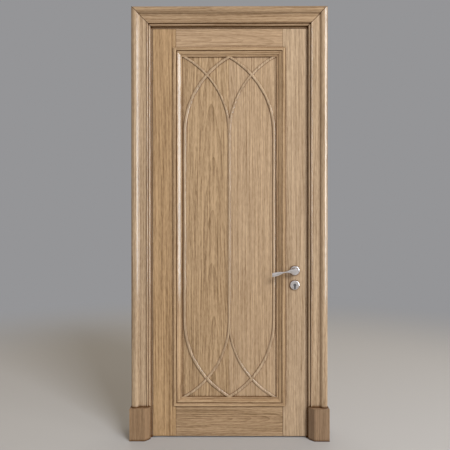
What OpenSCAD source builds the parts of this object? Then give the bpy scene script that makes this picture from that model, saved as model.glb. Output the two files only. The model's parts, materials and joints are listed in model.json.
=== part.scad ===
// Interior door set: framed oak leaf with arched tracery, in its jambs, casings and plinth blocks.
// Millimetres. X runs across the opening, Y through the wall (front is -Y), Z up from the floor.

/* [Leaf] */
// Width of the leaf
leaf_w = 900; // [760:10:1000]
// Height of the leaf
leaf_h = 2400; // [1900:10:2600]
// Thickness of the leaf
leaf_t = 44; // [42:1:50]
// Gap between leaf and jambs, at the sides and the head
leaf_gap = 3; // [2.5:0.5:5]
// Gap between leaf and floor
floor_gap = 8; // [4:1:15]
// Width of the stiles
stile_w = 135; // [120:1:160]
// Height of the top rail
top_rail_h = 124; // [100:1:180]
// Height of the bottom rail
bottom_rail_h = 193; // [150:1:260]
// Thickness of the panel
panel_t = 18; // [14:1:20]
// Depth of the panel groove in stiles and rails
groove_d = 12; // [8:1:16]
// Width of the shadow line where a rail meets a stile
joint_line_w = 1.5; // [0.5:0.1:2.5]
// Depth of the shadow line
joint_line_d = 3; // [1:0.5:6]

/* [Panel moulding] */
// Width of the moulding around the panel
moulding_w = 50; // [48:1:60]
// How far the moulding lies over the stiles and rails
moulding_lap = 14; // [8:1:16]
// How far the moulding stands out from the leaf's face
moulding_rise = 8; // [6:0.5:10]
// Width of the moulding's flat outer fillet
moulding_fillet_w = 17; // [17:1:19]
// Width of the quirk, the groove between fillet and ovolo
moulding_quirk_w = 4; // [2:0.5:5]
// Depth of the quirk
moulding_quirk_d = 6; // [3:0.5:7]
// How far the ovolo's crown lies below the fillet
moulding_ovolo_set = 2; // [1:0.5:3]
// Width of the flat lip at the panel
moulding_lip_w = 9; // [6:1:11]
// Height of the lip above the panel
moulding_lip_h = 6; // [3:0.5:7]
// Step down from the ovolo to the lip
moulding_lip_step = 1.5; // [0.5:0.5:2]

/* [Tracery] */
// Width of a tracery rib
rib_w = 18; // [14:1:20]
// Height of a tracery rib above the panel
rib_h = 6; // [4:0.5:6.5]
// Space between an outer rib and the moulding
rib_margin = 6; // [0.5:0.5:10]
// Height of the arches above the springing line
arch_rise = 452; // [360:1:480]
// How much lower the arcs that end in the corners lie than those that end in the middle
under_drop = 1.2; // [0.6:0.1:2]

/* [Frame] */
// Wall thickness that the frame lines
wall_t = 100; // [90:5:150]
// Thickness of the jambs
jamb_t = 40; // [36:1:50]
// Jamb edge left showing beside the casing
reveal = 10; // [4:1:12]
// Height of the stop above the jamb's face
stop_h = 15; // [12:1:20]
// Depth of the stop along the jamb
stop_d = 36; // [24:1:40]
// Gap between the leaf's back and the stop
stop_gap = 4; // [3:0.5:6]
// Width of the rubber seal
seal_w = 6; // [4:0.5:8]
// Depth of the seal's groove in the stop
seal_groove_d = 4; // [3:0.5:6]

/* [Casing] */
// Width of the casing
casing_w = 111; // [104:1:140]
// Greatest thickness of the casing, at its outer roll
casing_t = 38; // [34:1:44]
// Radius of the outer roll
roll_r = 24; // [20:1:28]
// Distance of the roll's crown from the outer edge
roll_u = 22; // [16:1:23]
// Radius of the cove between roll and flat
cove_r = 9; // [6:1:12]
// Thickness of the casing's flat
casing_flat_t = 22; // [18:1:24]
// Radius of the small bead
bead_r = 4.5; // [3:0.5:6]
// Distance of the bead's step from the inner edge
bead_u = 23; // [20:1:28]
// Flat shoulder left beside the bead
bead_shoulder = 0.5; // [0.2:0.1:1]
// Thickness of the casing beside the bead, towards the jamb
casing_edge_t = 17; // [14:1:18]
// Radius of the casing's inner edge
casing_edge_r = 8; // [4:1:10]
// Width of the land at the casing's outer edge that lies on the wall
casing_land_w = 24; // [18:1:32]
// Depth of the relief in the casing's back, between wall and jamb
casing_relief_d = 3; // [2:0.5:5]
// Opening of the casing's mitre joints
mitre_gap = 0.8; // [0.2:0.1:1]

/* [Plinth blocks] */
// Height of a plinth block
plinth_h = 187; // [150:1:260]
// How far a plinth block stands out beyond the casing's outer edge
plinth_lap = 6; // [2:1:20]
// Thickness of a plinth block
plinth_t = 57; // [50:1:64]
// Width of the bevel on the inner edge
plinth_bevel_w = 29; // [20:1:36]
// Depth of the bevel on the inner edge
plinth_bevel_d = 30; // [16:1:34]

/* [Hinges] */
// Widest opening of the leaf, in degrees
open_angle = 105; // [90:1:108]
// Height of the lowest hinge's middle above the floor
hinge_low_z = 240; // [200:10:400]
// Drop of the highest hinge's middle below the leaf's top
hinge_top_drop = 240; // [200:10:400]
// Length of a hinge's face plate
hinge_plate_h = 110; // [100:1:130]
// Width of a hinge's face plate
hinge_plate_w = 32; // [31:1:34]
// Thickness of a hinge's face plate
hinge_plate_t = 4; // [3:0.5:5]
// Distance of the hinge plates from the leaf's front face
hinge_inset = 5; // [4:0.5:7]
// Length of a hinge's cup
hinge_cup_h = 56; // [48:1:60]
// Depth of a hinge's cup
hinge_cup_d = 34; // [33:1:36]
// Inner radius of the curved hinge arm
arm_r_in = 22; // [20:0.5:23]
// Outer radius of the curved hinge arm
arm_r_out = 30; // [28:0.5:31]
// Height of the hinge arm
arm_h = 30; // [20:1:36]
// Angle that the arm stays inside each cup when the leaf is wide open
arm_hold = 10; // [8:1:12]

/* [Lock] */
// Height of the lever's spindle above the floor
lever_z = 985; // [900:5:1100]
// Distance from the leaf's edge to the spindle
backset = 65; // [55:1:70]
// Distance between spindle and cylinder
lock_centres = 85; // [85:1:92]
// Thickness of the lock case
case_t = 15; // [14:1:16]
// Lock case behind the spindle
case_behind = 26; // [26:1:40]
// Lock case above the spindle
case_above = 42; // [36:1:60]
// Lock case below the cylinder
case_below = 46; // [40:1:60]
// Wall of the lock case
case_wall = 1.5; // [1:0.25:2]
// Width of face plate and strike plate
plate_w = 22; // [20:1:24]
// Length of face plate and strike plate
plate_h = 235; // [225:1:260]
// Thickness of face plate and strike plate
plate_t = 3; // [2:0.5:3]
// Throw of the latch
latch_throw = 11; // [9:0.5:12]
// Throw of the dead bolt
bolt_throw = 20; // [14:1:22]
// Height of the latch head
latch_h = 30; // [24:1:34]
// Height of the dead bolt
bolt_h = 22; // [18:1:24]
// Thickness of latch and dead bolt
bolt_t = 11; // [9:0.5:11.5]

/* [Lever and roses] */
// Diameter of rose and escutcheon
rose_d = 56; // [50:1:60]
// Thickness of rose and escutcheon
rose_t = 9; // [7:0.5:11]
// Rounding of the rose's rim
rose_rim_r = 4; // [2:0.5:5]
// Reach of the lever from its spindle
lever_l = 136; // [110:1:145]
// Distance of the lever's middle from the leaf's face
lever_out = 44; // [38:1:46]
// Radius of the lever's neck
neck_r = 9; // [8:0.5:11]
// Width of the lever at its root
lever_root_w = 32; // [24:1:36]
// Width of the lever at its waist
lever_waist_w = 9; // [8:0.5:14]
// Width of the lever's blade
lever_blade_w = 24; // [16:1:28]
// Thickness of the lever
lever_t = 9; // [7:0.5:12]
// Thickness of the lever's tip
lever_tip_t = 5; // [4:0.5:7]
// Droop of the lever's tip
lever_droop = 22; // [0:1:24]
// Side of the square spindle
spindle_w = 8; // [7:1:10]
// Radius of the profile cylinder's round part
cylinder_r = 8.5; // [8.5:0.1:8.7]
// Width of the profile cylinder's leg
cylinder_leg_w = 10; // [10:0.1:10.5]
// Height of the profile cylinder
cylinder_h = 33; // [32:0.5:34]
// How far the profile cylinder's ends lie behind the escutcheons' faces
cylinder_recess = 3; // [1:0.5:4]
// Radius of the cylinder's plug
plug_r = 6.4; // [6:0.1:6.8]
// Reach of the cylinder's cam from its axis
cam_r = 14.5; // [13:0.5:15]
// Width of the cylinder's cam along its axis
cam_w = 10; // [8:0.5:10]

/* [Fixings] */
// Diameter of the wood screws
screw_d = 4.5; // [3.5:0.5:5]
// Diameter of the wood screws' heads
screw_head_d = 8.5; // [7:0.5:9]
// Length of the wood screws
screw_l = 32; // [20:1:34]
// Diameter of the fixing holes through stop and jamb
fixing_d = 8; // [6:0.5:10]
// Height of the lowest fixing hole
fixing_low_z = 300; // [250:10:400]
// Distance from the lowest to the highest fixing hole
fixing_span = 1800; // [1400:10:1850]
// Distance between the two middle fixing holes
fixing_mid_span = 600; // [400:10:800]

/* [Clearances] */
// Clearance between moving pieces
run_gap = 0.4; // [0.3:0.1:0.6]
// Radial clearance of turning fits
turn_gap = 0.05; // [0.02:0.01:0.1]
// Clearance around pieces let into the wood
let_in_gap = 0.1; // [0:0.05:0.3]

/* [Hidden] */
$fn = 96;

// How far cutting shapes reach past the faces that they cut
cut = 1;

oak = [0.69, 0.57, 0.42];
oak_shade = [0.62, 0.50, 0.36];
nickel = [0.78, 0.75, 0.72];
steel = [0.62, 0.62, 0.63];
rubber = [0.20, 0.16, 0.13];

// Planes and edges of the set
front_y = -wall_t / 2;
leaf_back_y = front_y + leaf_t;
leaf_mid_y = front_y + leaf_t / 2;
opening_half = leaf_w / 2 + leaf_gap;
head_z = floor_gap + leaf_h + leaf_gap;
leaf_top_z = floor_gap + leaf_h;
casing_in = opening_half + reveal;
casing_out = casing_in + casing_w;
casing_top_z = head_z + reveal + casing_w;
stop_y = leaf_back_y + stop_gap;
stop_mid_y = stop_y + stop_d / 2;

// Panel field inside the moulding
panel_recess = (leaf_t - panel_t) / 2;
inner_half = leaf_w / 2 - stile_w;
frame_low_z = floor_gap + bottom_rail_h;
frame_high_z = leaf_top_z - top_rail_h;
moulding_half = inner_half + moulding_lap;
moulding_low_z = frame_low_z - moulding_lap;
moulding_high_z = frame_high_z + moulding_lap;
field_half = moulding_half - moulding_w;
field_low_z = moulding_low_z + moulding_w;
field_high_z = moulding_high_z - moulding_w;

// Arcs that spring from one rib and reach the next rib at the field's edge
rib_r = rib_w / 2;
bay_w = field_half - rib_margin - rib_r;
arch_r = (bay_w * bay_w + arch_rise * arch_rise) / (2 * bay_w);
arch_angle = asin(arch_rise / arch_r) + 4;

// Hinge axis, in the gap at the leaf's front edge
axis_x = -leaf_w / 2 - leaf_gap / 2;
hinge_zs = [hinge_low_z, (hinge_low_z + leaf_top_z - hinge_top_drop) / 2, leaf_top_z - hinge_top_drop];
hinge_mid_y = front_y + hinge_inset + hinge_plate_w / 2;
hinge_screw_dz = (hinge_plate_h + hinge_cup_h) / 4;
arm_span = open_angle + 2 * arm_hold;
arm_end = 90 + arm_span / 2;

// Lock places
lock_x = leaf_w / 2 - backset;
cylinder_z = lever_z - lock_centres;
case_back_x = lock_x - case_behind;
case_d = leaf_w / 2 - plate_t - case_back_x;
case_low_z = cylinder_z - case_below;
case_high_z = lever_z + case_above;
plate_mid_z = (case_low_z + case_high_z) / 2;
bolt_over_cam = 7;
bolt_z = cylinder_z + cam_r + bolt_over_cam + bolt_h / 2;
plate_screw_end = 12;
plate_screw_dz = plate_h / 2 - plate_screw_end;
hub_r = 10;
hub_gap = 1;
leg_h = cylinder_h - cylinder_r;
cylinder_l = leaf_t + 2 * (rose_t - cylinder_recess);
cam_slot_w = cam_w + 2 * run_gap;
screw_head_h = (screw_head_d - screw_d) / 2;

// Draws in the elevation (x across, y up, z out of the face) and stands it on the plane at y
module elevation(y) {
  translate([0, y, 0])
    rotate([90, 0, 0])
      children();
}

// The same piece on the back of the leaf
module on_leaf_back() {
  translate([0, 2 * leaf_mid_y, 0])
    mirror([0, 1, 0])
      children();
}

// The same piece on the other side of the wall
module on_wall_back() {
  mirror([0, 1, 0])
    children();
}

// The same piece on the other side of the opening
module on_right() {
  mirror([1, 0, 0])
    children();
}

// Bar of the profile given as child, along x, with its ends cut back across its width
module mitred_bar(start, end, width, low, high, start_cut, end_cut) {
  function start_at(u) = start + start_cut * u / width;
  function end_at(u) = end - end_cut * u / width;
  intersection() {
    translate([start - cut, 0, 0])
      rotate([90, 0, 90])
        linear_extrude(end - start + 2 * cut)
          children();
    translate([0, 0, low - cut])
      linear_extrude(high - low + 2 * cut)
        polygon([
          [start_at(-cut), -cut],
          [end_at(-cut), -cut],
          [end_at(width + cut), width + cut],
          [start_at(width + cut), width + cut]
        ]);
  }
}

// Countersunk wood screw, head flush at z = 0, pointing down
module wood_screw(gap) {
  translate([0, 0, -screw_l - gap])
    cylinder(d = screw_d + 2 * gap, h = screw_l + gap);
  translate([0, 0, -screw_head_h])
    cylinder(d1 = screw_d + 2 * gap, d2 = screw_head_d + 2 * gap, h = screw_head_h);
}

// Casing

// Greatest angle between the points of an arc
arc_step = 6;

// Points of an arc about c, from angle a to angle b
function arc_points(c, r, a, b) =
  let (steps = ceil(abs(b - a) / arc_step))
  [for (i = [0 : steps]) let (t = a + (b - a) * i / steps) c + r * [cos(t), sin(t)]];

// Section of the casing: outer roll, cove, flat, bead, rounded inner edge, and lands on jamb and wall
module casing_profile() {
  roll_c = [roll_u, casing_t - roll_r];
  cove_v = casing_flat_t + cove_r;
  cove_c = [roll_u + sqrt(pow(roll_r + cove_r, 2) - pow(cove_v - roll_c[1], 2)), cove_v];
  meet_angle = atan2(cove_c[1] - roll_c[1], cove_c[0] - roll_c[0]);
  bead_c = [casing_w - bead_u + bead_r, casing_flat_t];
  edge_u = bead_c[0] + bead_r + bead_shoulder;
  edge_c = [casing_w - casing_edge_r, casing_edge_t - casing_edge_r];
  polygon([
    [0, 0],
    each arc_points(roll_c, roll_r, acos(-roll_u / roll_r), meet_angle),
    each arc_points(cove_c, cove_r, meet_angle + 180 + arc_step, 270),
    each arc_points(bead_c, bead_r, 180, 0),
    [edge_u, casing_flat_t],
    [edge_u, casing_edge_t],
    each arc_points(edge_c, casing_edge_r, 90, 0),
    [casing_w, 0],
    [casing_w - jamb_t + reveal, 0],
    [casing_w - jamb_t + reveal, casing_relief_d],
    [casing_land_w, casing_relief_d],
    [casing_land_w, 0]
  ]);
}

module casing_leg() {
  color(oak)
    elevation(front_y)
      translate([-casing_out, 0, 0])
        rotate(-90)
          mitred_bar(-casing_top_z + mitre_gap, -plinth_h, casing_w, 0, casing_t, casing_w, 0)
            casing_profile();
}

module casing_head() {
  color(oak)
    elevation(front_y)
      translate([0, casing_top_z, 0])
        rotate(180)
          mitred_bar(-casing_out, casing_out, casing_w, 0, casing_t, casing_w, casing_w)
            casing_profile();
}

module plinth() {
  width = casing_w + plinth_lap;
  color(oak)
    translate([-casing_out - plinth_lap, front_y, 0])
      linear_extrude(plinth_h)
        polygon([
          [0, 0],
          [0, -plinth_t],
          [width - plinth_bevel_w, -plinth_t],
          [width, -plinth_t + plinth_bevel_d],
          [width, 0]
        ]);
}

module front_left_casing() { casing_leg(); }
module front_right_casing() { on_right() casing_leg(); }
module front_head_casing() { casing_head(); }
module back_left_casing() { on_wall_back() casing_leg(); }
module back_right_casing() { on_wall_back() on_right() casing_leg(); }
module back_head_casing() { on_wall_back() casing_head(); }
module front_left_plinth() { plinth(); }
module front_right_plinth() { on_right() plinth(); }
module back_left_plinth() { on_wall_back() plinth(); }
module back_right_plinth() { on_wall_back() on_right() plinth(); }

// Frame lining

fixing_zs = [
  fixing_low_z,
  fixing_low_z + (fixing_span - fixing_mid_span) / 2,
  fixing_low_z + (fixing_span + fixing_mid_span) / 2,
  fixing_low_z + fixing_span
];

// Fixing holes through a jamb and its stop, on the left
module fixing_holes() {
  for (z = fixing_zs)
    translate([-opening_half - jamb_t - cut, stop_mid_y, z])
      rotate([0, 90, 0])
        cylinder(d = fixing_d, h = jamb_t + stop_h + 2 * cut);
}

module side_jamb() {
  difference() {
    translate([-opening_half - jamb_t, front_y, 0])
      cube([jamb_t, wall_t, head_z]);
    fixing_holes();
  }
}

module left_jamb() {
  color(oak)
    difference() {
      side_jamb();
      hinge_pockets(-1);
    }
}

module right_jamb() {
  color(oak)
    difference() {
      on_right() side_jamb();
      strike_pocket();
    }
}

module head_jamb() {
  color(oak)
    translate([-opening_half - jamb_t, front_y, head_z])
      cube([2 * (opening_half + jamb_t), wall_t, jamb_t]);
}

// Distance of the seal's groove from the jamb's face
seal_u = (stop_h - seal_w) / 2;

// Groove of the seal along the head, from one side's groove to the other's
module head_seal_groove() {
  half = opening_half - seal_u;
  translate([-half, stop_y - cut, head_z - seal_u - seal_w])
    cube([2 * half, seal_groove_d + cut, seal_w]);
}

module side_stop() {
  color(oak)
    difference() {
      translate([-opening_half, stop_y, 0])
        cube([stop_h, stop_d, head_z]);
      translate([-opening_half + seal_u, stop_y - cut, -cut])
        cube([seal_w, seal_groove_d + cut, head_z - seal_u + cut]);
      head_seal_groove();
      fixing_holes();
    }
}

module left_stop() { side_stop(); }
module right_stop() { on_right() side_stop(); }

module head_stop() {
  half = opening_half - stop_h;
  color(oak)
    difference() {
      translate([-half, stop_y, head_z - stop_h])
        cube([2 * half, stop_d, stop_h]);
      head_seal_groove();
    }
}

// Section of the seal: root in the stop's groove and a rounded lip towards the leaf
module seal_profile() {
  lip = stop_gap - run_gap;
  lip_r = seal_w / 2;
  translate([0, -lip + lip_r])
    square([seal_w, lip - lip_r + seal_groove_d]);
  translate([lip_r, -lip + lip_r])
    circle(lip_r);
}

module stop_seal() {
  color(rubber) {
    for (side = [0, 1])
      mirror([side, 0, 0])
        translate([-opening_half + seal_u, stop_y, 0])
          linear_extrude(head_z - seal_u)
            seal_profile();
    translate([-opening_half + seal_u + seal_w, stop_y, head_z - seal_u])
      rotate([0, 90, 0])
        linear_extrude(2 * (opening_half - seal_u - seal_w))
          seal_profile();
  }
}

// Concealed hinges

// Face plate with round ends, in the y-z plane, growing away from the gap
module hinge_plate_face(gap) {
  end_dz = (hinge_plate_h - hinge_plate_w) / 2;
  square([hinge_plate_w + 2 * gap, 2 * end_dz], center = true);
  for (dz = [-end_dz, end_dz])
    translate([0, dz])
      circle(hinge_plate_w / 2 + gap);
}

// Plate and cup of one hinge half, its face at x = 0 and its cup towards -x
module hinge_half_block(gap) {
  rotate([90, 0, -90])
    linear_extrude(hinge_plate_t + gap)
      hinge_plate_face(gap);
  translate([-hinge_cup_d - gap, -hinge_plate_w / 2 - gap, -hinge_cup_h / 2 - gap])
    cube([hinge_cup_d + gap, hinge_plate_w + 2 * gap, hinge_cup_h + 2 * gap]);
}

// Screws of one hinge half
module hinge_half_screws(gap) {
  for (dz = [-hinge_screw_dz, hinge_screw_dz])
    translate([0, 0, dz])
      rotate([0, 90, 0])
        wood_screw(gap);
}

// Puts a hinge half at each hinge height: side -1 in the jamb, side 1 in the leaf
module at_hinges(side) {
  face_x = side < 0 ? -opening_half : -leaf_w / 2;
  for (z = hinge_zs)
    translate([face_x, hinge_mid_y, z])
      mirror([side < 0 ? 0 : 1, 0, 0])
        children();
}

// Curved track of the arms, from angle a to angle b about the hinge axis
module arm_sweep(a, b, gap) {
  for (z = hinge_zs)
    translate([axis_x, front_y, z])
      rotate(a)
        rotate_extrude(angle = b - a)
          translate([arm_r_in - gap, -arm_h / 2 - gap])
            square([arm_r_out - arm_r_in + 2 * gap, arm_h + 2 * gap]);
}

module hinge_pockets(side) {
  at_hinges(side) {
    hinge_half_block(let_in_gap);
    hinge_half_screws(let_in_gap);
  }
}

// Spare angle at the blind end of each track, and past the cup's mouth
track_spare = 3;

module hinge_frame_cups() {
  color(steel)
    difference() {
      at_hinges(-1)
        hinge_half_block(0);
      at_hinges(-1)
        hinge_half_screws(turn_gap);
      arm_sweep(90 - track_spare, arm_end + track_spare, run_gap);
    }
}

module hinge_leaf_cups() {
  color(steel)
    difference() {
      at_hinges(1)
        hinge_half_block(0);
      at_hinges(1)
        hinge_half_screws(turn_gap);
      arm_sweep(180 - arm_end - track_spare, 90 + track_spare, run_gap);
    }
}

module hinge_frame_screws() {
  color(steel)
    at_hinges(-1)
      hinge_half_screws(0);
}

module hinge_leaf_screws() {
  color(steel)
    at_hinges(1)
      hinge_half_screws(0);
}

module hinge_arms() {
  color(steel)
    arm_sweep(180 - arm_end, arm_end, 0);
}

// Leaf

module stile() {
  difference() {
    translate([-leaf_w / 2, front_y, floor_gap])
      cube([stile_w, leaf_t, leaf_h]);
    translate([-inner_half - groove_d, leaf_mid_y - panel_t / 2, floor_gap - cut])
      cube([groove_d + cut, panel_t, leaf_h + 2 * cut]);
  }
}

module hinge_stile() {
  color(oak)
    difference() {
      stile();
      hinge_pockets(1);
    }
}

module lock_stile() {
  color(oak)
    difference() {
      on_right() stile();
      lock_pocket();
    }
}

// Rail with stub tenons in the stiles' grooves, the panel's groove along one edge, and a shadow line
// on both faces where it meets the stiles
module rail(low_z, height, groove_z) {
  line_y = leaf_t - 2 * joint_line_d;
  color(oak)
    difference() {
      union() {
        translate([-inner_half + joint_line_w, front_y, low_z])
          cube([2 * (inner_half - joint_line_w), leaf_t, height]);
        translate([-inner_half, leaf_mid_y - line_y / 2, low_z])
          cube([2 * inner_half, line_y, height]);
        translate([-inner_half - groove_d, leaf_mid_y - panel_t / 2, low_z])
          cube([2 * (inner_half + groove_d), panel_t, height]);
      }
      translate([-inner_half - groove_d - cut, leaf_mid_y - panel_t / 2, groove_z])
        cube([2 * (inner_half + groove_d + cut), panel_t, groove_d]);
    }
}

module top_rail() { rail(frame_high_z, top_rail_h, frame_high_z); }
module bottom_rail() { rail(floor_gap, bottom_rail_h, frame_low_z - groove_d); }

module panel() {
  half = inner_half + groove_d;
  color(oak_shade)
    translate([-half, leaf_mid_y - panel_t / 2, frame_low_z - groove_d])
      cube([2 * half, panel_t, frame_high_z - frame_low_z + 2 * groove_d]);
}

// Slope of the ovolo's curve at its crown and at its foot, on a true circle
ovolo_from = 22;
ovolo_to = 50;

// Points of the ovolo's curve, drawn out to run from its crown to its foot
function ovolo_points(crown, foot) =
  let (
    run = sin(ovolo_to) - sin(ovolo_from),
    fall = cos(ovolo_from) - cos(ovolo_to),
    steps = ceil((ovolo_to - ovolo_from) / arc_step)
  )
  [
    for (i = [0 : steps])
      let (t = ovolo_from + (ovolo_to - ovolo_from) * i / steps)
      [
        crown[0] + (foot[0] - crown[0]) * (sin(t) - sin(ovolo_from)) / run,
        crown[1] + (foot[1] - crown[1]) * (cos(ovolo_from) - cos(t)) / fall
      ]
  ];

// Section of the panel moulding, from its outer edge inwards; v = 0 is the leaf's face
module moulding_profile() {
  quirk_u = moulding_fillet_w;
  quirk_v = moulding_rise - moulding_quirk_d;
  ovolo_u = quirk_u + moulding_quirk_w;
  lip_u = moulding_w - moulding_lip_w;
  lip_v = moulding_lip_h - panel_recess;
  polygon([
    [0, 0],
    [0, moulding_rise],
    [quirk_u, moulding_rise],
    [quirk_u, quirk_v],
    [ovolo_u, quirk_v],
    each ovolo_points([ovolo_u, moulding_rise - moulding_ovolo_set], [lip_u, lip_v + moulding_lip_step]),
    [lip_u, lip_v],
    [moulding_w, lip_v],
    [moulding_w, -panel_recess],
    [moulding_lap, -panel_recess],
    [moulding_lap, 0]
  ]);
}

module moulding_upright() {
  color(oak)
    elevation(front_y)
      translate([-moulding_half, 0, 0])
        rotate(-90)
          mitred_bar(-moulding_high_z, -moulding_low_z, moulding_w,
              -panel_recess, moulding_rise, moulding_w, moulding_w)
            moulding_profile();
}

module moulding_across(edge_z, turn) {
  color(oak)
    elevation(front_y)
      translate([0, edge_z, 0])
        rotate(turn)
          mitred_bar(-moulding_half, moulding_half, moulding_w,
              -panel_recess, moulding_rise, moulding_w, moulding_w)
            moulding_profile();
}

module front_left_moulding() { moulding_upright(); }
module front_right_moulding() { on_right() moulding_upright(); }
module front_top_moulding() { moulding_across(moulding_high_z, 180); }
module front_bottom_moulding() { moulding_across(moulding_low_z, 0); }
module back_left_moulding() { on_leaf_back() moulding_upright(); }
module back_right_moulding() { on_leaf_back() on_right() moulding_upright(); }
module back_top_moulding() { on_leaf_back() moulding_across(moulding_high_z, 180); }
module back_bottom_moulding() { on_leaf_back() moulding_across(moulding_low_z, 0); }

// Tracery

// Section of a rib: round shoulders and a narrow flat top, standing on the panel
module rib_section(inset) {
  shoulder_u = rib_r - rib_h;
  height = rib_h - inset;
  intersection() {
    union() {
      for (u = [-shoulder_u, shoulder_u])
        translate([u, 0])
          circle(height);
      translate([-shoulder_u, 0])
        square([2 * shoulder_u, height]);
    }
    translate([-rib_r, 0])
      square([rib_w, rib_w]);
  }
}

// Arc that leaves the rib at x = 0 upright and bends towards +x
module arch_arc(inset) {
  translate([arch_r, 0, 0])
    rotate(180 - arch_angle)
      rotate_extrude(angle = arch_angle, $fn = 360)
        translate([arch_r, 0])
          rib_section(inset);
}

// Two crossing arcs of the bay left of the middle, on a springing line at y = 0; the one from the outer rib
// runs over the other
module arch_bay() {
  intersection() {
    union() {
      translate([-bay_w, 0, 0])
        arch_arc(0);
      mirror([1, 0, 0])
        arch_arc(under_drop);
    }
    translate([-field_half, 0, -cut])
      cube([field_half, arch_rise, rib_w]);
  }
}

// Upright rib, a hair slimmer than the arcs and run a little way into them
upright_inset = 0.2;
upright_lap = 3;

module upright_rib(low, high, inset) {
  translate([0, high + upright_lap, 0])
    rotate([90, 0, 0])
      linear_extrude(high - low + 2 * upright_lap)
        rib_section(inset + upright_inset);
}

module tracery() {
  low = field_low_z + arch_rise;
  high = field_high_z - arch_rise;
  color(oak)
    elevation(front_y + panel_recess) {
      upright_rib(low, high, under_drop);
      for (x = [-bay_w, bay_w])
        translate([x, 0, 0])
          upright_rib(low, high, 0);
      for (side = [0, 1])
        mirror([side, 0, 0]) {
          translate([0, high, 0])
            arch_bay();
          translate([0, low, 0])
            mirror([0, 1, 0])
              arch_bay();
        }
    }
}

module front_tracery() { tracery(); }
module back_tracery() { on_leaf_back() tracery(); }

// Lock

// Outline of a profile cylinder, axis at the middle of its round part
module cylinder_outline(gap) {
  leg_r = cylinder_leg_w / 2 + gap;
  circle(cylinder_r + gap);
  translate([-leg_r, -leg_h + cylinder_leg_w / 2])
    square([2 * leg_r, leg_h - cylinder_leg_w / 2]);
  translate([0, -leg_h + cylinder_leg_w / 2])
    circle(leg_r);
}

// Plate with round ends on the leaf's edge or the jamb, in the y-z plane
module edge_plate(length, thickness, gap) {
  end_dz = (length - plate_w) / 2;
  rotate([90, 0, 90])
    linear_extrude(thickness) {
      square([plate_w + 2 * gap, 2 * end_dz], center = true);
      for (dz = [-end_dz, end_dz])
        translate([0, dz])
          circle(plate_w / 2 + gap);
    }
}

// Two screws in a plate, pointing along -x from their heads at x = 0
module edge_plate_screws(gap) {
  for (dz = [-plate_screw_dz, plate_screw_dz])
    translate([0, 0, dz])
      rotate([0, 90, 0])
        wood_screw(gap);
}

module at_face_plate() {
  translate([leaf_w / 2, leaf_mid_y, plate_mid_z])
    children();
}

// The strike plate's face looks at the leaf, so it is turned round
module at_strike_plate() {
  translate([opening_half, leaf_mid_y, plate_mid_z])
    mirror([1, 0, 0])
      children();
}

// Ways of latch and dead bolt through the plates
module bolt_ways(x_low, x_high, gap) {
  for (way = [[lever_z, latch_h], [bolt_z, bolt_h]])
    translate([x_low, leaf_mid_y - bolt_t / 2 - gap, way[0] - way[1] / 2 - gap])
      cube([x_high - x_low, bolt_t + 2 * gap, way[1] + 2 * gap]);
}

module lock_pocket() {
  at_face_plate() {
    translate([-plate_t, 0, 0])
      edge_plate(plate_h, plate_t + cut, let_in_gap);
    edge_plate_screws(let_in_gap);
  }
  translate([case_back_x - let_in_gap, leaf_mid_y - case_t / 2 - let_in_gap, case_low_z - let_in_gap])
    cube([case_d + plate_t + cut, case_t + 2 * let_in_gap, case_high_z - case_low_z + 2 * let_in_gap]);
  translate([lock_x, leaf_back_y + cut, lever_z])
    rotate([90, 0, 0])
      cylinder(r = hub_r + hub_gap, h = leaf_t + 2 * cut);
  translate([lock_x, leaf_back_y + cut, cylinder_z])
    rotate([90, 0, 0])
      linear_extrude(leaf_t + 2 * cut)
        cylinder_outline(run_gap);
}

// Depth of the strike's pockets past the thrown bolt
strike_spare = 2;

module strike_pocket() {
  at_strike_plate() {
    translate([-plate_t, 0, 0])
      edge_plate(plate_h, plate_t + cut, let_in_gap);
    edge_plate_screws(let_in_gap);
  }
  bolt_ways(opening_half, leaf_w / 2 + bolt_throw + strike_spare, 2 * run_gap);
}

module strike_plate() {
  color(steel)
    difference() {
      at_strike_plate()
        translate([-plate_t, 0, 0])
          edge_plate(plate_h, plate_t, 0);
      bolt_ways(opening_half - cut, opening_half + plate_t + cut, 2 * run_gap);
      at_strike_plate()
        edge_plate_screws(turn_gap);
    }
}

module strike_screws() {
  color(steel)
    at_strike_plate()
      edge_plate_screws(0);
}

module face_plate() {
  color(steel)
    difference() {
      at_face_plate()
        translate([-plate_t, 0, 0])
          edge_plate(plate_h, plate_t, 0);
      bolt_ways(leaf_w / 2 - plate_t - cut, leaf_w / 2 + cut, run_gap);
      at_face_plate()
        edge_plate_screws(turn_gap);
      cylinder_screw_shape(turn_gap);
    }
}

module face_plate_screws() {
  color(steel)
    at_face_plate()
      edge_plate_screws(0);
}

// Screw from the face plate into the cylinder's leg
cylinder_screw_z = cylinder_z - leg_h + cylinder_leg_w / 2;
cylinder_screw_d = 5;
cylinder_screw_head_h = 2.5;

module cylinder_screw_shape(gap) {
  length = backset - plate_t;
  translate([leaf_w / 2, leaf_mid_y, cylinder_screw_z])
    rotate([0, -90, 0]) {
      cylinder(d = cylinder_screw_d + 2 * gap, h = length);
      cylinder(d1 = screw_head_d + 2 * gap, d2 = cylinder_screw_d + 2 * gap, h = cylinder_screw_head_h);
    }
}

module cylinder_screw() {
  color(steel)
    cylinder_screw_shape(0);
}

module lock_case() {
  inner_t = case_t - 2 * case_wall;
  color(steel)
    difference() {
      translate([case_back_x, leaf_mid_y - case_t / 2, case_low_z])
        cube([case_d, case_t, case_high_z - case_low_z]);
      translate([case_back_x + case_wall, leaf_mid_y - inner_t / 2, case_low_z + case_wall])
        cube([case_d, inner_t, case_high_z - case_low_z - 2 * case_wall]);
      translate([lock_x, leaf_mid_y + case_t, lever_z])
        rotate([90, 0, 0])
          cylinder(r = hub_r, h = 2 * case_t);
      translate([lock_x, leaf_mid_y + case_t, cylinder_z])
        rotate([90, 0, 0])
          linear_extrude(2 * case_t)
            cylinder_outline(run_gap);
    }
}

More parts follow.
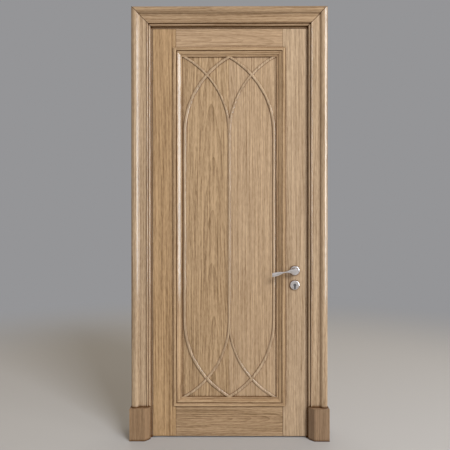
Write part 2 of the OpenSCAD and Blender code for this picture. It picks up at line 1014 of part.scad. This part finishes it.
// Hub with a square hole, and the arm that draws the latch back
arm_reach = 24;
arm_w = 6;

module follower() {
  inner_t = case_t - 2 * case_wall - 2 * run_gap;
  color(steel)
    difference() {
      translate([lock_x, leaf_mid_y, lever_z]) {
        rotate([90, 0, 0])
          cylinder(r = hub_r - turn_gap, h = case_t, center = true);
        translate([-arm_w / 2, -inner_t / 2, 0])
          cube([arm_w, inner_t / 2 - run_gap, arm_reach]);
      }
      translate([lock_x - spindle_w / 2, leaf_mid_y - case_t, lever_z - spindle_w / 2])
        cube([spindle_w, 2 * case_t, spindle_w]);
    }
}

// Latch: bevelled head, and a tail beside the follower's arm with a hook behind it
latch_head_behind = 8;
latch_nose = [1, 2];
hook_w = 5;
hook_slack = 4;
tail_over_hub = 1.5;
tail_h = 4;

module latch_bolt() {
  tip_x = leaf_w / 2 + latch_throw;
  head_x = lock_x + hub_r + latch_throw + latch_head_behind;
  hook_x = lock_x - arm_w / 2 - hook_slack - hook_w;
  tail_z = lever_z + hub_r + tail_over_hub;
  inner_t = case_t - 2 * case_wall - 2 * run_gap;
  color(nickel) {
    translate([0, leaf_mid_y, lever_z - latch_h / 2])
      linear_extrude(latch_h)
        polygon([
          [head_x, -bolt_t / 2],
          [tip_x, -bolt_t / 2],
          [tip_x - latch_nose[0], -bolt_t / 2 + latch_nose[1]],
          [tip_x - latch_throw + latch_nose[0], bolt_t / 2],
          [head_x, bolt_t / 2]
        ]);
    translate([hook_x, leaf_mid_y + run_gap, tail_z])
      cube([head_x - hook_x + cut, inner_t / 2 - run_gap, tail_h]);
    translate([hook_x, leaf_mid_y - inner_t / 2, tail_z])
      cube([hook_w, inner_t, tail_h]);
  }
}

// Dead bolt, drawn back flush with the face plate, and its tail
bolt_head_behind = 22;
bolt_tail_l = 24;

module dead_bolt() {
  head_l = bolt_throw + bolt_head_behind;
  color(nickel) {
    translate([leaf_w / 2 - head_l, leaf_mid_y - bolt_t / 2, bolt_z - bolt_h / 2])
      cube([head_l, bolt_t, bolt_h]);
    translate([leaf_w / 2 - head_l - bolt_tail_l, leaf_mid_y - bolt_t / 4, bolt_z - bolt_h / 4])
      cube([bolt_tail_l + cut, bolt_t / 2, bolt_h / 2]);
  }
}

module spindle() {
  length = leaf_t + 2 * (lever_out - lever_t);
  color(steel)
    translate([lock_x - spindle_w / 2, leaf_mid_y - length / 2, lever_z - spindle_w / 2])
      cube([spindle_w, length, spindle_w]);
}

module cylinder_body() {
  color(nickel)
    difference() {
      translate([lock_x, leaf_mid_y + cylinder_l / 2, cylinder_z])
        rotate([90, 0, 0])
          linear_extrude(cylinder_l)
            difference() {
              cylinder_outline(0);
              circle(plug_r + turn_gap);
            }
      translate([lock_x - cylinder_r - cut, leaf_mid_y - cam_slot_w / 2, cylinder_z - cam_r - run_gap])
        cube([2 * (cylinder_r + cut), cam_slot_w, cam_r + cylinder_r + run_gap + cut]);
      cylinder_screw_shape(turn_gap);
    }
}

// Turning plug with a keyway at each end, and the cam in its middle
keyway_w = 2;
keyway_h = 8;
keyway_l = 22;
keyway_drop = 1;
cam_inset = 1;

module cylinder_plug() {
  cam_bit_w = cylinder_leg_w - 2 * cam_inset;
  color(nickel)
    translate([lock_x, leaf_mid_y, cylinder_z])
      difference() {
        union() {
          rotate([90, 0, 0])
            cylinder(r = plug_r, h = cylinder_l, center = true);
          rotate([90, 0, 0])
            cylinder(r = cylinder_r, h = cam_w, center = true);
          translate([-cam_bit_w / 2, -cam_w / 2, -cam_r + run_gap])
            cube([cam_bit_w, cam_w, cam_r - run_gap]);
        }
        for (side = [-1, 1])
          translate([0, side * (cylinder_l - keyway_l + cut) / 2, -keyway_drop])
            cube([keyway_w, keyway_l + cut, keyway_h], center = true);
      }
}

// Roses and levers

// Disc with a rounded rim, standing on the leaf's face
module rose_disc() {
  radius = rose_d / 2;
  rotate_extrude() {
    square([radius - rose_rim_r, rose_t]);
    square([radius, rose_t - rose_rim_r]);
    translate([radius - rose_rim_r, rose_t - rose_rim_r])
      circle(rose_rim_r);
  }
}

module rose() {
  color(nickel)
    elevation(front_y)
      translate([lock_x, lever_z, 0])
        difference() {
          rose_disc();
          translate([0, 0, -cut])
            cylinder(r = neck_r + run_gap, h = rose_t + 2 * cut);
        }
}

module escutcheon() {
  color(nickel)
    elevation(front_y)
      translate([lock_x, cylinder_z, 0])
        difference() {
          rose_disc();
          translate([0, 0, -cut])
            linear_extrude(rose_t + 2 * cut)
              cylinder_outline(run_gap);
        }
}

module front_rose() { rose(); }
module back_rose() { on_leaf_back() rose(); }
module front_escutcheon() { escutcheon(); }
module back_escutcheon() { on_leaf_back() escutcheon(); }

// Rises smoothly from 0 to 1 between a and b
function ease(s, a, b) =
  let (t = min(1, max(0, (s - a) / (b - a))))
  t * t * (3 - 2 * t);

// Stations on the lever as shares of its reach, each from where a change starts to where it ends
root_taper = [0.03, 0.46];
blade_flare = [0.48, 0.78];
tip_droop = [0.1, 1.25];
tip_thinning = [0.3, 0.9];

// Lever arm: width, drop and thickness along its length, s from 0 at the root to 1 at the tip
function along(s, span) = ease(s, span[0], span[1]);
function lever_width(s) =
  lever_waist_w + (lever_root_w - lever_waist_w) * (1 - along(s, root_taper))
  + (lever_blade_w - lever_waist_w) * along(s, blade_flare);
function lever_drop(s) = lever_droop * along(s, tip_droop) / along(1, tip_droop);
function lever_thick(s) = lever_t - (lever_t - lever_tip_t) * along(s, tip_thinning);

// Roundness of the lever's section: 1 is an ellipse, less is squarer
section_power = 0.8;
function squared(v) = sign(v) * pow(abs(v), section_power);

lever_rings = 28;
lever_sides = 16;

// One rounded cross section of the lever arm; side 1 is in front of the face, -1 behind it
function lever_ring(s, side) = [
  for (k = [0 : lever_sides - 1])
    let (a = 360 * k / lever_sides)
    [
      -s * lever_l,
      -lever_drop(s) + lever_width(s) / 2 * squared(cos(a)),
      side * lever_out + lever_thick(s) / 2 * squared(sin(a))
    ]
];

module lever_arm(side) {
  points = [for (i = [0 : lever_rings]) each lever_ring(i / lever_rings, side)];
  sides = [
    for (i = [0 : lever_rings - 1], k = [0 : lever_sides - 1])
      let (n = (k + 1) % lever_sides, a = i * lever_sides, b = a + lever_sides)
      [a + k, a + n, b + n, b + k]
  ];
  root = [for (k = [lever_sides - 1 : -1 : 0]) k];
  tip = [for (k = [0 : lever_sides - 1]) lever_rings * lever_sides + k];
  polyhedron(points, concat(sides, [root, tip]), convexity = 4);
}

// Lever with its neck, root disc and arm; side 1 is in front of the face, -1 behind it
neck_lift = 1;
root_rim = 0.5;

module lever(side) {
  socket_l = lever_out - lever_t;
  color(nickel)
    translate([lock_x, lever_z, 0])
      difference() {
        union() {
          translate([0, 0, side * (neck_lift + lever_out) / 2])
            cylinder(r = neck_r, h = lever_out - neck_lift, center = true);
          translate([0, 0, side * lever_out])
            cylinder(r = lever_root_w / 2 + root_rim, h = lever_t + 2 * root_rim, center = true);
          lever_arm(side);
        }
        cube([spindle_w, spindle_w, 2 * socket_l], center = true);
      }
}

module front_lever() { elevation(front_y) lever(1); }
module back_lever() { elevation(leaf_back_y) lever(-1); }

left_jamb();
right_jamb();
head_jamb();
left_stop();
right_stop();
head_stop();
stop_seal();
front_left_casing();
front_right_casing();
front_head_casing();
back_left_casing();
back_right_casing();
back_head_casing();
front_left_plinth();
front_right_plinth();
back_left_plinth();
back_right_plinth();
strike_plate();
strike_screws();
hinge_frame_cups();
hinge_frame_screws();
hinge_stile();
lock_stile();
top_rail();
bottom_rail();
panel();
front_left_moulding();
front_right_moulding();
front_top_moulding();
front_bottom_moulding();
back_left_moulding();
back_right_moulding();
back_top_moulding();
back_bottom_moulding();
front_tracery();
back_tracery();
hinge_leaf_cups();
hinge_leaf_screws();
hinge_arms();
lock_case();
face_plate();
face_plate_screws();
cylinder_body();
cylinder_screw();
front_rose();
back_rose();
front_escutcheon();
back_escutcheon();
front_lever();
back_lever();
spindle();
follower();
latch_bolt();
dead_bolt();
cylinder_plug();
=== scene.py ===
import json
from math import radians

import bpy
from mathutils import Matrix, Vector


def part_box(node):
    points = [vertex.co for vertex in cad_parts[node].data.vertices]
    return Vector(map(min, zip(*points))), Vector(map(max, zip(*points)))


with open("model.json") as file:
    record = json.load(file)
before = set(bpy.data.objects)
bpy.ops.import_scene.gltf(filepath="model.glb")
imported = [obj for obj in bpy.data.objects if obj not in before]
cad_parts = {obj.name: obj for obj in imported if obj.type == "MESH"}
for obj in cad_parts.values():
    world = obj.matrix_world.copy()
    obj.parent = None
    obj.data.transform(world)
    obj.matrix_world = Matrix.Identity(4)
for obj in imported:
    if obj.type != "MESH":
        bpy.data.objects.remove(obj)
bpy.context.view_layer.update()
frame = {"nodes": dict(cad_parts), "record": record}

# Image and camera, fitted to the edges of leaf, casing and plinth blocks
IMAGE_PX = 450
FOCAL_PX = 496.8
SENSOR_MM = 36
CAMERA_PLACE = (-0.0103, -2.9794, 1.2634)
CAMERA_PITCH = -0.0033
CAMERA_ROLL = 0.0003
CAMERA_YAW = 0.0052

# Floor and background
BACKGROUND = (0.30, 0.30, 0.31)
FLOOR_TONE = (0.50, 0.49, 0.48)
FLOOR_REACH = 9
FLOOR_SIDES = 96
FLOOR_FADE = (2.2, 5.5)

# Ambient light: warm from the front, neutral and stronger from behind
AMBIENT = (1.0, 0.84, 0.62)
AMBIENT_LEVEL = 0.28
BACK_AMBIENT = (1.0, 0.98, 0.95)
BACK_LEVEL = 1.45
BACK_TURN = (0.2, 0.9)

# Lamps, all turned to one point. The fill from the front right gives most of the light
AIM = (0, -0.03, 1.5)
KEY_PLACE = (4.1, -2.9, 1.7)
KEY_SIZE = (1.8, 2.4)
KEY_WATTS = 70
KEY_TONE = (1.0, 1.0, 1.0)
FILL_PLACE = (4.6, -7.8, 7.2)
FILL_SIZE = (4.0, 4.0)
FILL_WATTS = 880
FILL_TONE = (0.97, 1.0, 1.07)
WINDOW_PLACE = (4.6, -2.7, 2.3)
WINDOW_SIZE = (3.6, 4.6)
WINDOW_WATTS = 520
WINDOW_TONE = (0.76, 0.89, 1.0)
ROOM_PLACE = (0, -7.0, 1.5)
ROOM_SIZE = (12.0, 8.0)
ROOM_WATTS = 90
ROOM_TONE = (1.0, 0.97, 0.95)

# Oak: how far light and dark grain depart from a board's own tone
LIGHT_GRAIN = (1.38, 1.42, 1.50)
DARK_GRAIN = (0.55, 0.48, 0.40)
GRAIN_MEAN = 0.41
SEED_STEP = 1.7
# Growth rings
RING_SPACING = 0.011
RING_SWAY = 0.10
LATE_WOOD_CURVE = 2.2
# Texture scales per metre: twice across the grain, then along it
SWAY_SCALE = (5.0, 5.0, 1.1)
STREAK_SCALE = (115, 115, 1.8)
FLECK_SCALE = (190, 190, 34)
FIBRE_SCALE = (320, 320, 7)
PORE_SCALE = (850, 850, 24)
CLOUD_SCALE = (5, 5, 0.6)
# How much each layer darkens the grain
EARLY_WOOD_SHARE = 0.26
LATE_WOOD_SHARE = 0.36
STREAK_SHARE = 2.7
FLECK_SHARE = 1.1
FIBRE_SHARE = 0.7
PORE_SHARE = 0.25
PORE_EDGE = (0.57, 0.72)
CLOUD_EDGE = (0.25, 0.75)
CLOUD_TONE = (0.93, 0.91, 0.88, 1.0)
# Surface of the oak under its polish
OAK_ROUGHNESS = (0.46, 0.60)
STREAK_EDGE = (0.2, 0.8)
POLISH_ROUGHNESS = 0.15
FIBRE_HEIGHT = 0.6
OAK_RELIEF = 0.25
OAK_RELIEF_DEPTH = 0.0004
# Painted shade darkens grooves and hollows where ambient occlusion finds them; joints get their own dark
# lines
CREVICE_SAMPLES = 8
CREVICE_SHADE_REACH = 0.018
CREVICE_SHADE_OPEN = (0.48, 0.97)
CREVICE_SHADE_TONE = (0.22, 0.11, 0.042, 1.0)
JOINT_WIDTH = (0.0012, 0.0036)
JOINT_TONE = (0.26, 0.19, 0.12, 1.0)
RAIL_JOINT_INSET = 0.0015
# The panel's left half is darker, partly its own tone and partly painted shade of light falling from the
# right, and more strongly figured than its right half
LEFT_HALF_TINT = (0.93, 0.905, 0.835, 1.0)
LEFT_HALF_FIGURE = 0.25

# Metal: brush marks per metre, along and across the brush, and uneven tone
BRUSH_ALONG = 60
BRUSH_ACROSS = 1400
BRUSH_RELIEF = 0.12
BRUSH_RELIEF_DEPTH = 0.0002
BRUSH_EDGE = (0.25, 0.75)
BRUSH_ROUGHNESS = (-0.06, 0.08)
SMUDGE_SCALE = (40, 40, 40)
SMUDGE_DARK = (0.93, 0.93, 0.92)
SMUDGE_LIGHT = (1.04, 1.04, 1.05)

# Rubber
GRIT_SCALE = (500, 500, 500)
GRIT_DARK = (0.8, 0.8, 0.8)
GRIT_LIGHT = (1.2, 1.2, 1.2)
GRIT_ROUGHNESS = (0.60, 0.78)
GRIT_RELIEF = 0.15
GRIT_RELIEF_DEPTH = 0.0003
# Where uneven tone of metal and rubber turns from dark to light
PATCH_EDGE = (0.3, 0.7)


class Graph:
    """Nodes of one material, linked as they are made."""

    def __init__(self, tree):
        self.tree = tree
        tree.nodes.clear()

    def add(self, kind, settings=None, **inputs):
        node = self.tree.nodes.new(kind)
        for key, value in (settings or {}).items():
            setattr(node, key, value)
        for key, value in inputs.items():
            self.put(node.inputs[key.replace("_", " ")], value)
        return node

    def put(self, socket, value):
        if isinstance(value, bpy.types.NodeSocket):
            self.tree.links.new(value, socket)
        else:
            socket.default_value = value

    def math(self, operation, *values):
        node = self.add("ShaderNodeMath", {"operation": operation})
        for socket, value in zip(node.inputs, values):
            self.put(socket, value)
        return node.outputs[0]

    def split(self, vector):
        return self.add("ShaderNodeSeparateXYZ", Vector=vector).outputs

    def join(self, x, y, z):
        return self.add("ShaderNodeCombineXYZ", X=x, Y=y, Z=z).outputs[0]

    def place(self):
        return self.add("ShaderNodeTexCoord").outputs["Object"]

    def length(self, vector):
        return self.add("ShaderNodeVectorMath", {"operation": "LENGTH"}, Vector=vector).outputs["Value"]

    def noise(self, vector, scale, seed, detail, roughness=0.5):
        stretched = self.add("ShaderNodeMapping", Vector=vector, Scale=scale).outputs[0]
        node = self.add("ShaderNodeTexNoise", {"noise_dimensions": "4D"}, Vector=stretched, W=seed,
                        Scale=1.0, Detail=detail, Roughness=roughness)
        return node.outputs[0]

    def ramp(self, value, low, high, to_low=0.0, to_high=1.0):
        node = self.add("ShaderNodeMapRange", {"interpolation_type": "SMOOTHSTEP"}, Value=value)
        ends = {"From Min": low, "From Max": high, "To Min": to_low, "To Max": to_high}
        for key, number in ends.items():
            node.inputs[key].default_value = number
        return node.outputs[0]

    def mix(self, share, a, b, blend="MIX"):
        node = self.add("ShaderNodeMix", {"data_type": "RGBA", "blend_type": blend})
        self.put(node.inputs[0], share)
        self.put(node.inputs[6], a)
        self.put(node.inputs[7], b)
        return node.outputs[2]

    def tint(self, share, colour, tone):
        """Colour multiplied by a tone, by a share."""
        return self.mix(share, colour, self.mix(1.0, colour, tone, "MULTIPLY"))

    def darken(self, dark, layer, share):
        """Grain darkness with one more layer of noise about its middle."""
        return self.math("MULTIPLY_ADD", self.math("SUBTRACT", layer, 0.5), share, dark)

    def bump(self, height, strength, distance):
        return self.add("ShaderNodeBump", Height=height, Strength=strength, Distance=distance).outputs[0]

    def mix_shaders(self, share, a, b):
        node = self.add("ShaderNodeMixShader")
        self.put(node.inputs[0], share)
        self.put(node.inputs[1], a.outputs[0])
        self.put(node.inputs[2], b.outputs[0])
        return node.outputs[0]


def new_material(name):
    material = bpy.data.materials.new(name)
    material.use_nodes = True
    return material, Graph(material.node_tree)


def finish_material(graph, **sockets):
    shader = graph.add("ShaderNodeBsdfPrincipled")
    for key, value in sockets.items():
        graph.put(shader.inputs[key.replace("_", " ")], value)
    graph.add("ShaderNodeOutputMaterial", Surface=shader.outputs[0])


def shade(tone, factors):
    return tuple(t * f for t, f in zip(tone, factors)) + (1.0,)


def joint_share(g, place, corner, rise):
    """How near a point is to a joint that starts at an outer corner and rises by a share of its run."""
    x, _, z = g.split(place)
    across = g.math("SUBTRACT", g.math("ABSOLUTE", x), corner[0])
    away = g.math("MULTIPLY_ADD", g.math("SUBTRACT", z, corner[1]), rise, across)
    return g.ramp(g.math("ABSOLUTE", away), *JOINT_WIDTH, 1.0, 0.0)


def crevice_shade_and_joints(g, colour, place, joints):
    """Colour with painted shade in grooves and hollows, found by ambient occlusion, with dark lines along
    joints, and the share of polish left where the painted shade is.
    """
    occlusion = g.add("ShaderNodeAmbientOcclusion", {"samples": CREVICE_SAMPLES}, Distance=CREVICE_SHADE_REACH)
    crevice_shade = g.ramp(occlusion.outputs["AO"], *CREVICE_SHADE_OPEN, 1.0, 0.0)
    colour = g.tint(crevice_shade, colour, CREVICE_SHADE_TONE)
    for corner, rise in joints:
        colour = g.tint(joint_share(g, place, corner, rise), colour, JOINT_TONE)
    return colour, g.math("SUBTRACT", 1.0, crevice_shade)


def late_wood(g, space, heart, lean, seed):
    """Dark part of the growth rings about the heart, which sways along the board."""
    aside, depth, along = g.split(space)
    sway = g.noise(space, SWAY_SCALE, seed, 3.0)
    bend = g.math("MULTIPLY_ADD", sway, RING_SWAY, -RING_SWAY / 2 - heart[0])
    ring_u = g.math("ADD", aside, bend)
    ring_v = g.math("ADD", g.math("MULTIPLY_ADD", along, lean, heart[1]), depth)
    radius = g.length(g.join(ring_u, ring_v, 0.0))
    phase = g.math("FRACT", g.math("DIVIDE", radius, RING_SPACING))
    return g.math("POWER", phase, LATE_WOOD_CURVE)


def oak(name, board, seed, joints, two_halves):
    """Oak board. Its grain is upright or across; heart is how far aside of and behind the face the log's
    heart lies, lean is how much deeper it gets per metre, and figure is how strong the grain is."""
    grain, tone, heart, lean, figure = board
    material, g = new_material(name)
    place = g.place()
    x, y, z = g.split(place)
    space = place if grain == "upright" else g.join(z, y, x)

    streak = g.noise(space, STREAK_SCALE, seed + 3, 5.0, 0.62)
    fleck = g.noise(space, FLECK_SCALE, seed + 4, 2.0)
    fibre = g.noise(space, FIBRE_SCALE, seed + 5, 3.0, 0.6)
    pores = g.ramp(g.noise(space, PORE_SCALE, seed + 7, 1.0), *PORE_EDGE)
    cloud = g.ramp(g.noise(space, CLOUD_SCALE, seed + 9, 2.0), *CLOUD_EDGE)

    rings = late_wood(g, space, heart, lean, seed)
    dark = g.math("MULTIPLY_ADD", rings, LATE_WOOD_SHARE, EARLY_WOOD_SHARE)
    dark = g.darken(dark, streak, STREAK_SHARE)
    dark = g.darken(dark, fleck, FLECK_SHARE)
    dark = g.darken(dark, fibre, FIBRE_SHARE)
    dark = g.math("MULTIPLY_ADD", pores, PORE_SHARE, dark)
    if two_halves:
        left_half = g.math("LESS_THAN", x, 0.0)
        figure = g.math("MULTIPLY_ADD", left_half, LEFT_HALF_FIGURE, figure)
    dark = g.math("MULTIPLY_ADD", g.math("SUBTRACT", dark, GRAIN_MEAN), figure, GRAIN_MEAN)
    share = g.add("ShaderNodeClamp", Value=dark).outputs[0]
    colour = g.mix(share, shade(tone, LIGHT_GRAIN), shade(tone, DARK_GRAIN))
    colour = g.mix(cloud, g.mix(1.0, colour, CLOUD_TONE, "MULTIPLY"), colour)
    if two_halves:
        # Darker left half: partly the board's own tone, partly painted shade
        colour = g.tint(left_half, colour, LEFT_HALF_TINT)

    # Painted shade in hollows and dark joint lines; the coat is weaker where the painted shade lies
    colour, polish = crevice_shade_and_joints(g, colour, place, joints)
    height = g.math("SUBTRACT", g.math("MULTIPLY", fibre, FIBRE_HEIGHT), pores)
    finish_material(
        g,
        Base_Color=colour,
        Roughness=g.ramp(streak, *STREAK_EDGE, *OAK_ROUGHNESS),
        Specular_IOR_Level=0.0,
        Coat_Weight=polish,
        Coat_Roughness=POLISH_ROUGHNESS,
        Normal=g.bump(height, OAK_RELIEF, OAK_RELIEF_DEPTH),
    )
    return material


def metal(name, tone, roughness, brush_axis):
    """Satin metal, with fine brush marks drawn out along one axis."""
    material, g = new_material(name)
    place = g.place()
    scale = tuple(BRUSH_ALONG if axis == brush_axis else BRUSH_ACROSS for axis in "XYZ")
    marks = g.noise(place, scale, 2.0, 3.0, 0.6)
    smudge = g.noise(place, SMUDGE_SCALE, 5.0, 3.0)
    smooth, rough = (roughness + change for change in BRUSH_ROUGHNESS)
    finish_material(
        g,
        Base_Color=g.mix(g.ramp(smudge, *PATCH_EDGE), shade(tone, SMUDGE_DARK), shade(tone, SMUDGE_LIGHT)),
        Metallic=1.0,
        Roughness=g.ramp(marks, *BRUSH_EDGE, smooth, rough),
        Normal=g.bump(marks, BRUSH_RELIEF, BRUSH_RELIEF_DEPTH),
    )
    return material


def rubber(name, tone):
    material, g = new_material(name)
    grit = g.noise(g.place(), GRIT_SCALE, 1.0, 3.0)
    finish_material(
        g,
        Base_Color=g.mix(g.ramp(grit, *PATCH_EDGE), shade(tone, GRIT_DARK), shade(tone, GRIT_LIGHT)),
        Roughness=g.ramp(grit, *PATCH_EDGE, *GRIT_ROUGHNESS),
        Normal=g.bump(grit, GRIT_RELIEF, GRIT_RELIEF_DEPTH),
    )
    return material


def paint(node, material):
    mesh = frame["nodes"][node].data
    mesh.materials.clear()
    mesh.materials.append(material)


# Tones of the boards
WARM_OAK = (0.40, 0.257, 0.128)
PALE_OAK = (0.44, 0.315, 0.195)
MID_OAK = (0.42, 0.285, 0.165)
DEEP_OAK = (0.37, 0.250, 0.141)
PANEL_OAK = (0.435, 0.302, 0.178)
MOULDING_OAK = (0.42, 0.280, 0.153)
# The plinth blocks are darker than the casings: painted shade standing in for the light falling off near
# the floor
LEFT_BLOCK_SHADED_OAK = (0.307, 0.198, 0.110)
RIGHT_BLOCK_SHADED_OAK = (0.265, 0.172, 0.099)

# Boards of the leaf: grain, tone, heart aside and behind the face, lean and figure
BOARDS = {
    # The hinge stile's warmer, darker tone and the lock stile's paler one are partly the boards' own and
    # partly painted light: shade on the left, the window's sheen on the right
    "hinge_stile": ("upright", WARM_OAK, (-0.62, 0.30), 0.02, 0.95),
    "lock_stile": ("upright", PALE_OAK, (0.60, 0.28), -0.02, 0.8),
    "top_rail": ("across", MID_OAK, (2.34, 0.10), 0.06, 0.65),
    "bottom_rail": ("across", DEEP_OAK, (0.10, 0.07), 0.10, 1.0),
    "panel": ("upright", PANEL_OAK, (-0.10, 0.10), 0.035, 0.8),
    "front_tracery": ("upright", PALE_OAK, (0.5, 0.3), 0.03, 0.8),
    "back_tracery": ("upright", PALE_OAK, (0.5, 0.3), 0.03, 0.8),
}
# Other lengths have the heart aside of their own middle, or further out by a factor
MOULDING_HEART = (0.15, 0.18)
HEAD_HEART = (0.12, 0.16)
UPRIGHT_HEART_FACTOR = 1.5
UPRIGHT_HEART_DEPTH = 0.2
UPRIGHT_LEAN = 0.02
LENGTH_LEAN = 0.03
LENGTH_FIGURE = 0.85
BLOCK_LEAN = 0.06
BLOCK_FIGURE = 0.6


def board_of(node):
    """Grain, tone, heart, lean and figure of a wooden node."""
    if node in BOARDS:
        return BOARDS[node]
    low, high = (Vector(corner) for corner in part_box(node))
    size, middle = high - low, (low + high) / 2
    lies = size.x > size.z
    if "moulding" in node:
        grain = "across" if lies else "upright"
        aside = middle.z if lies else middle.x
        heart = (aside + MOULDING_HEART[0], MOULDING_HEART[1])
        return grain, MOULDING_OAK, heart, LENGTH_LEAN, LENGTH_FIGURE
    if lies:
        heart = (middle.z + HEAD_HEART[0], HEAD_HEART[1])
        return "across", DEEP_OAK, heart, LENGTH_LEAN, LENGTH_FIGURE
    heart = (middle.x * UPRIGHT_HEART_FACTOR, UPRIGHT_HEART_DEPTH)
    if "plinth" in node:
        # Painted shade: darker block tones stand in for the light falling off near the floor
        tone = LEFT_BLOCK_SHADED_OAK if middle.x < 0 else RIGHT_BLOCK_SHADED_OAK
        return "upright", tone, heart, BLOCK_LEAN, BLOCK_FIGURE
    return "upright", PALE_OAK, heart, UPRIGHT_LEAN, LENGTH_FIGURE


def joints_of(node):
    """Outer corner and rise of each joint where a rail or casing meets the next length."""
    if "rail" in node:
        return [((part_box(node)[1][0] - RAIL_JOINT_INSET, 0.0), 0)]
    if "casing" in node:
        face = node.split("_")[0]
        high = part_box(face + "_head_casing")[1]
        return [((high[0], high[2]), -1)]
    return []


slots = {part["node"]: part["material_slot"] for part in frame["record"]["subparts"]}
plain = {
    "nickel": metal("satin_nickel", (0.80, 0.75, 0.72), 0.20, "X"),
    "steel": metal("plain_steel", (0.50, 0.50, 0.51), 0.38, "Z"),
    "brass": metal("plated_brass", (0.60, 0.55, 0.46), 0.30, "Z"),
    "seal_rubber": rubber("brown_rubber", (0.05, 0.036, 0.026)),
}
# Painted shade: the lock cylinder gets dark metal to stand in for the shade inside its recessed keyhole
painted_shade_metal = metal("nickel_with_painted_shade", (0.20, 0.19, 0.19), 0.32, "Z")
for index, (node, slot) in enumerate(slots.items()):
    if node in ("cylinder_body", "cylinder_plug"):
        paint(node, painted_shade_metal)
    elif slot in plain:
        paint(node, plain[slot])
    else:
        wood = oak("oak_" + node, board_of(node), SEED_STEP * index, joints_of(node), node == "panel")
        paint(node, wood)


def studio_floor():
    """Pale floor that runs out into the background's own tone."""
    bpy.ops.mesh.primitive_circle_add(vertices=FLOOR_SIDES, radius=FLOOR_REACH, fill_type="NGON")
    floor = bpy.context.object
    floor.name = "studio_floor"
    material, g = new_material("studio_floor")
    matt = g.add("ShaderNodeBsdfDiffuse", Color=FLOOR_TONE + (1,))
    rim = g.add("ShaderNodeEmission", Color=BACKGROUND + (1,), Strength=1.0)
    away = g.ramp(g.length(g.place()), *FLOOR_FADE)
    g.add("ShaderNodeOutputMaterial", Surface=g.mix_shaders(away, matt, rim))
    floor.data.materials.append(material)


def studio_world():
    """Soft ambient light, more of it from behind, and a plain background where it is seen or mirrored."""
    world = bpy.data.worlds.new("studio")
    bpy.context.scene.world = world
    world.use_nodes = True
    g = Graph(world.node_tree)
    rays = g.add("ShaderNodeLightPath").outputs
    mirrored = g.math("MAXIMUM", rays["Is Glossy Ray"], rays["Is Transmission Ray"])
    seen = g.math("MAXIMUM", rays["Is Camera Ray"], mirrored)
    direction = g.add("ShaderNodeTexCoord").outputs["Generated"]
    from_behind = g.ramp(g.split(direction)[1], *BACK_TURN)
    tint = g.mix(from_behind, AMBIENT + (1,), BACK_AMBIENT + (1,))
    level = g.math("MULTIPLY_ADD", from_behind, BACK_LEVEL - AMBIENT_LEVEL, AMBIENT_LEVEL)
    ambient = g.add("ShaderNodeBackground", Color=tint, Strength=level)
    backdrop = g.add("ShaderNodeBackground", Color=BACKGROUND + (1,), Strength=1.0)
    g.add("ShaderNodeOutputWorld", Surface=g.mix_shaders(seen, ambient, backdrop))


def soft_light(name, place, size, watts, tone):
    data = bpy.data.lights.new(name, "AREA")
    data.shape = "RECTANGLE"
    data.size, data.size_y = size
    data.energy = watts
    data.color = tone
    lamp = bpy.data.objects.new(name, data)
    lamp.location = place
    lamp.visible_camera = False
    lamp.rotation_euler = (Vector(AIM) - Vector(place)).to_track_quat("-Z", "Y").to_euler()
    bpy.context.collection.objects.link(lamp)
    return lamp


def photo_camera():
    data = bpy.data.cameras.new("photo_camera")
    data.sensor_fit = "HORIZONTAL"
    data.sensor_width = SENSOR_MM
    data.lens = SENSOR_MM * FOCAL_PX / IMAGE_PX
    camera = bpy.data.objects.new("photo_camera", data)
    look = Matrix.Rotation(CAMERA_YAW, 4, "Z") @ Matrix.Rotation(CAMERA_PITCH, 4, "X")
    look = look @ Matrix.Rotation(CAMERA_ROLL, 4, "Y") @ Matrix.Rotation(radians(90), 4, "X")
    camera.matrix_world = Matrix.Translation(CAMERA_PLACE) @ look
    bpy.context.collection.objects.link(camera)
    bpy.context.scene.camera = camera


studio_floor()
studio_world()
# Key and fill light the surfaces and aren't mirrored in them
soft_light("key", KEY_PLACE, KEY_SIZE, KEY_WATTS, KEY_TONE).visible_glossy = False
soft_light("fill", FILL_PLACE, FILL_SIZE, FILL_WATTS, FILL_TONE).visible_glossy = False
# A tall window at the right and a pale room in front, seen only in glossy surfaces
soft_light("window", WINDOW_PLACE, WINDOW_SIZE, WINDOW_WATTS, WINDOW_TONE).visible_diffuse = False
soft_light("room", ROOM_PLACE, ROOM_SIZE, ROOM_WATTS, ROOM_TONE).visible_diffuse = False
photo_camera()
bpy.context.scene.view_settings.view_transform = "Standard"
